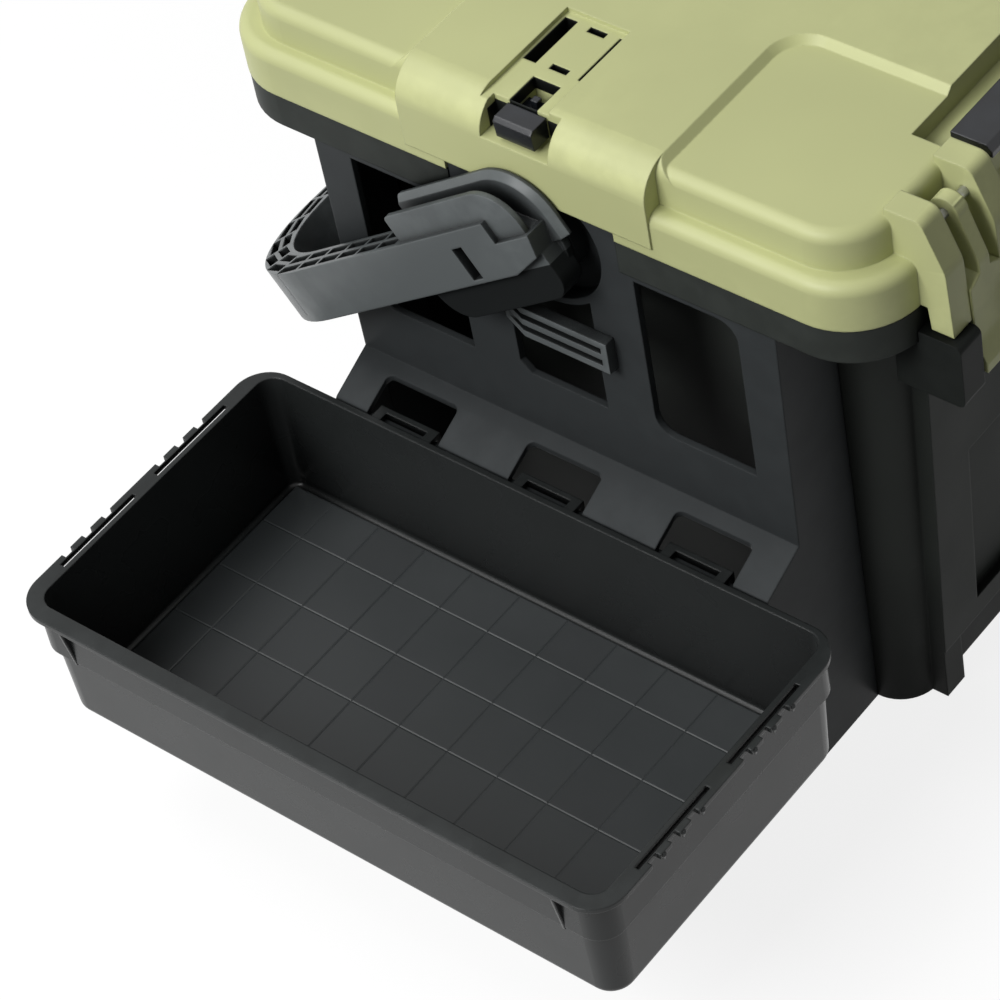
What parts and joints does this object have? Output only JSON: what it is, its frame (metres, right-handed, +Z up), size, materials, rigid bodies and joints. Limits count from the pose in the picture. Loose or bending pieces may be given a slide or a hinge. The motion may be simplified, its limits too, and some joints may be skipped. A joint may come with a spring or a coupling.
{
  "type": "fishing tackle cabinet",
  "caption": "Moulded tackle box with a hinged lid, a folding carrying handle, front latches and a hook-on side tray.",
  "frame": {"origin": "centre of the tub's footprint on the ground", "axes": "+X along the length, away from the tray; -Y is the front with the latches; +Z up"},
  "size_m": [0.648, 0.3433, 0.297],
  "materials": {
    "dark_plastic": "fine matt, charcoal",
    "black_plastic": "satin, dark grey",
    "olive_plastic": "satin, olive green",
    "pin_steel": "bright",
    "seal_rubber": "matt"
  },
  "bodies": {
    "tub": {"tub": "dark_plastic", "end_frame_left": "dark_plastic", "end_frame_right": "dark_plastic", "latch_keeper_left": "black_plastic", "latch_keeper_right": "black_plastic", "hanger_rail_left": "black_plastic", "hanger_rail_right": "black_plastic", "hinge_pin_left": "pin_steel", "hinge_pin_right": "pin_steel", "handle_pivot_left": "pin_steel", "handle_pivot_right": "pin_steel", "pivot_washer_left": "black_plastic", "pivot_washer_right": "black_plastic"},
    "lid": {"lid": "olive_plastic", "lid_seal": "seal_rubber", "front_plate": "black_plastic", "latch_pin_left": "pin_steel", "latch_pin_right": "pin_steel", "catch_pin_left": "pin_steel", "catch_pin_right": "pin_steel"},
    "handle": {"handle": "black_plastic"},
    "tray": {"hanging_tray": "black_plastic"},
    "left_latch": {"latch_left": "olive_plastic"},
    "right_latch": {"latch_right": "olive_plastic"},
    "left_catch": {"accessory_catch_left": "black_plastic"},
    "right_catch": {"accessory_catch_right": "black_plastic"}
  },
  "joints": [
    {"name": "lid_hinge", "type": "hinge", "parent": "tub", "child": "lid", "pos_m": [0, 0.162, 0.257], "axis": [-1, 0, 0], "range_deg": [0, 100]},
    {"name": "handle_swing", "type": "hinge", "parent": "tub", "child": "handle", "pos_m": [0, 0, 0.24], "axis": [-1, 0, 0], "range_deg": [-125.5, 0]},
    {"name": "tray_lift", "type": "slide", "parent": "tub", "child": "tray", "axis": [0, 0, 1], "range_m": [0, 0.03]},
    {"name": "left_latch_swing", "type": "hinge", "parent": "lid", "child": "left_latch", "pos_m": [-0.177, -0.154, 0.286], "axis": [-1, 0, 0], "range_deg": [0, 75]},
    {"name": "left_catch_press", "type": "hinge", "parent": "lid", "child": "left_catch", "pos_m": [-0.207, 0, 0.287], "axis": [0, -1, 0], "range_deg": [0, 4], "stiffness_Nm_per_rad": 0.2},
    {"name": "right_latch_swing", "type": "hinge", "parent": "lid", "child": "right_latch", "pos_m": [0.177, -0.154, 0.286], "axis": [-1, 0, 0], "range_deg": [0, 75]},
    {"name": "right_catch_press", "type": "hinge", "parent": "lid", "child": "right_catch", "pos_m": [0.207, 0, 0.287], "axis": [0, 1, 0], "range_deg": [0, 4], "stiffness_Nm_per_rad": 0.2}
  ]
}
